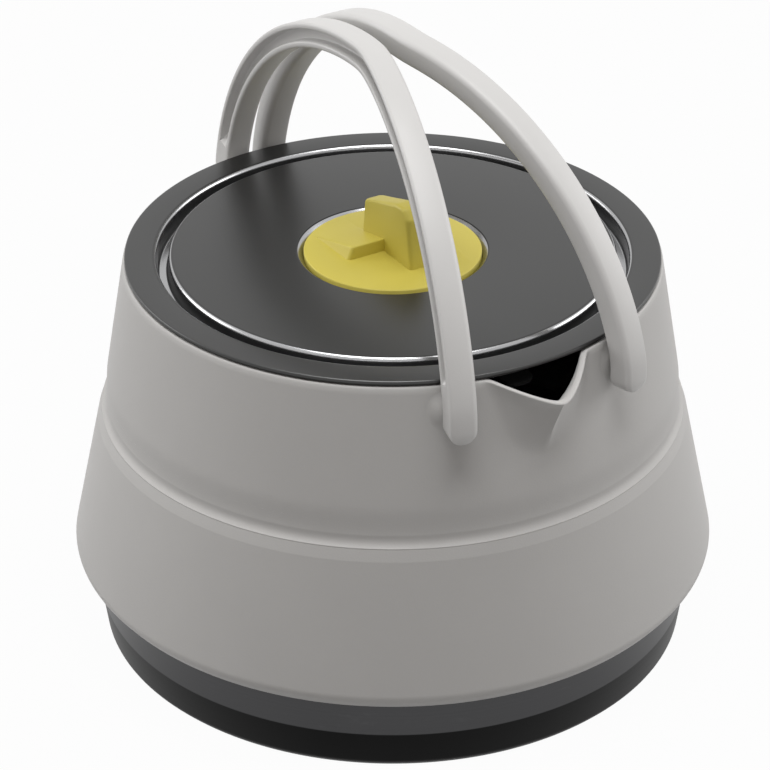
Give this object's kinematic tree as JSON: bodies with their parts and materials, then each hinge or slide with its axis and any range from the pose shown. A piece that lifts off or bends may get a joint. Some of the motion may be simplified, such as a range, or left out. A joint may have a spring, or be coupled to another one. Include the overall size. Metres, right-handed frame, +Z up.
{
  "type": "collapsible kettle",
  "caption": "Collapsible camping kettle: aluminium pan, two folding silicone tiers, pinched spout, pressed lid with a twist knob, and twin bail handles that swing down to the sides.",
  "frame": {"origin": "centre of the pan's flat underside, on the surface the kettle stands on", "axes": "+Z up through the lid's knob, -Y out through the spout, +X to the kettle's right handle; the kettle mirrors across X = 0 apart from the knob's two wedges"},
  "size_m": [0.1578, 0.1578, 0.1542],
  "materials": {
    "anodised_aluminium": "hard-anodised satin",
    "lid_aluminium": "dark anodised satin with a polished groove",
    "steel": "brushed",
    "silicone": "matt food-grade silicone",
    "handle_plastic": "satin moulded nylon",
    "knob_plastic": "satin moulded nylon",
    "dark_plastic": "matt",
    "gasket_rubber": "matt"
  },
  "bodies": {
    "base": {"base_pan": "anodised_aluminium", "base_clamp_ring": "steel", "lower_wall": "silicone", "fold_web": "silicone"},
    "upper": {"upper_wall": "silicone", "mouth_hoop": "dark_plastic", "pivot_boss_front_left": "silicone", "pivot_boss_front_right": "silicone", "pivot_boss_rear_left": "silicone", "pivot_boss_rear_right": "silicone", "pivot_pin_front_left": "steel", "pivot_pin_front_right": "steel", "pivot_pin_rear_left": "steel", "pivot_pin_rear_right": "steel"},
    "left": {"left_handle": "handle_plastic"},
    "right": {"right_handle": "handle_plastic"},
    "lid": {"lid_plate": "lid_aluminium", "lid_gasket": "gasket_rubber", "knob_bush": "dark_plastic"},
    "knob": {"lid_knob": "knob_plastic", "lock_bar": "dark_plastic", "knob_washer": "steel", "knob_screw": "steel"}
  },
  "joints": [
    {"name": "collapse", "type": "slide", "parent": "base", "child": "upper", "axis": [0, 0, 1], "range_m": [-0.024, 0], "deforming": ["fold_web"]},
    {"name": "left_handle_swing", "type": "hinge", "parent": "upper", "child": "left", "pos_m": [-0.00516, 0.07032, 0.0925], "axis": [-0.1262, -0.992, 0], "range_deg": [0, 90]},
    {"name": "right_handle_swing", "type": "hinge", "parent": "upper", "child": "right", "pos_m": [0.00516, 0.07032, 0.0925], "axis": [-0.1262, 0.992, 0], "range_deg": [0, 90]},
    {"name": "lid_lift", "type": "slide", "parent": "upper", "child": "lid", "axis": [0, 0, 1], "range_m": [0, 0.0025]},
    {"name": "knob_twist", "type": "hinge", "parent": "lid", "child": "knob", "pos_m": [0, 0, 0.1], "axis": [0, 0, 1], "range_deg": [0, 90]}
  ]
}
